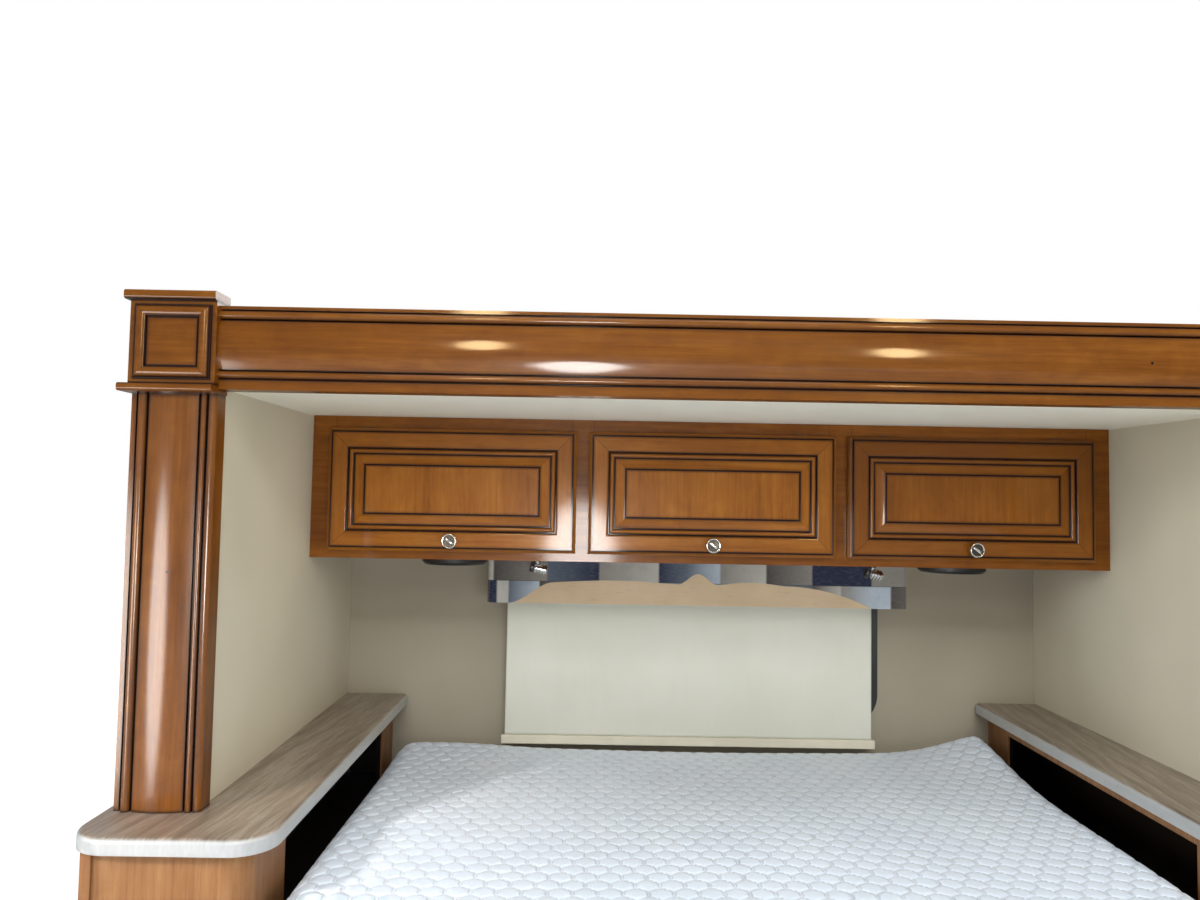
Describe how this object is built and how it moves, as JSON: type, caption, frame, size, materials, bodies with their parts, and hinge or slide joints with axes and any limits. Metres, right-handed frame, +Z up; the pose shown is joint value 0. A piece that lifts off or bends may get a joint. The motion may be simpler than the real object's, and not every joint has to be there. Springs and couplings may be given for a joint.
{
  "type": "motorhome bedroom slide-out",
  "caption": "Slide-out bedroom box of a motorhome in its wall frame, with wood fascia, lift-up cabinet doors, side shelves, window, blind and bed.",
  "frame": {"origin": "on the room's centreline, at the inner face of the outer wall, on the underside of the middle glide bar, which is the coach floor's level", "axes": "+X right as seen from inside the coach, +Y outwards through the coach wall, +Z up"},
  "size_m": [2.046, 1.977, 1.719],
  "materials": {
    "wood_fascia": "honey stain, glazed grooves, gloss lacquer",
    "wood_door": "honey stain, glazed grooves, gloss lacquer",
    "wood_cabinet": "dark honey stain, gloss lacquer",
    "wood_stand": "honey stain, satin lacquer",
    "plywood": "bare",
    "wall_panel": "papered panel",
    "floor_board": "covered board",
    "laminate": "stone-look laminate, satin",
    "chrome": "polished",
    "steel": "plated",
    "aluminium": "mill finish",
    "glide_plastic": "waxy",
    "gelcoat": "gloss",
    "rubber": "matt",
    "black_frame": "satin black",
    "tinted_glass": "tinted",
    "speaker_black": "matt",
    "pelmet_cloth": "woven, padded",
    "valance_cloth": "woven patchwork",
    "blind_metal": "satin",
    "blind_cloth": "smooth, coated",
    "mattress_cover": "quilted knit"
  },
  "bodies": {
    "wall_frame": {"wall_post_left": "aluminium", "wall_post_right": "aluminium", "wall_head": "aluminium"},
    "door_left": {"door_left": "wood_door", "knob_left": "chrome", "door_hinges_left": "steel"},
    "door_centre": {"door_centre": "wood_door", "knob_centre": "chrome", "door_hinges_centre": "steel"},
    "door_right": {"door_right": "wood_door", "knob_right": "chrome", "door_hinges_right": "steel"},
    "slide_box": {"bed_base": "wood_stand", "bed_deck": "plywood", "bed_glides": "glide_plastic", "blind_bar": "blind_metal", "blind_fabric": "blind_cloth", "blind_roller": "blind_metal", "cabinet_box": "wood_cabinet", "cabinet_face_frame": "wood_cabinet", "cabinet_hinges": "steel", "corner_block_left": "wood_fascia", "corner_block_right": "wood_fascia", "counter_left": "laminate", "counter_right": "laminate", "fascia_column_left": "wood_fascia", "fascia_column_right": "wood_fascia", "fascia_header": "wood_fascia", "flange_seal": "rubber", "floor_panel": "floor_board", "gear_racks": "aluminium", "glide_bars": "glide_plastic", "mattress": "mattress_cover", "nightstand_left": "wood_stand", "nightstand_right": "wood_stand", "outer_wall": "wall_panel", "pelmet": "pelmet_cloth", "reading_lamps": "chrome", "roof_panel": "wall_panel", "side_wall_left": "wall_panel", "side_wall_right": "wall_panel", "speakers": "speaker_black", "valance": "valance_cloth", "wall_flange": "gelcoat", "window_frame": "black_frame", "window_panes": "tinted_glass"}
  },
  "joints": [
    {"name": "slide_travel", "type": "slide", "parent": "wall_frame", "child": "slide_box", "axis": [0, 1, 0], "range_m": [-0.82, 0]},
    {"name": "door_left_lift", "type": "hinge", "parent": "slide_box", "child": "door_left", "pos_m": [-0.5655, -0.354, 1.542], "axis": [-1, 0, 0], "range_deg": [0, 80]},
    {"name": "door_centre_lift", "type": "hinge", "parent": "slide_box", "child": "door_centre", "pos_m": [0, -0.354, 1.542], "axis": [-1, 0, 0], "range_deg": [0, 80]},
    {"name": "door_right_lift", "type": "hinge", "parent": "slide_box", "child": "door_right", "pos_m": [0.5655, -0.354, 1.542], "axis": [-1, 0, 0], "range_deg": [0, 80]}
  ]
}
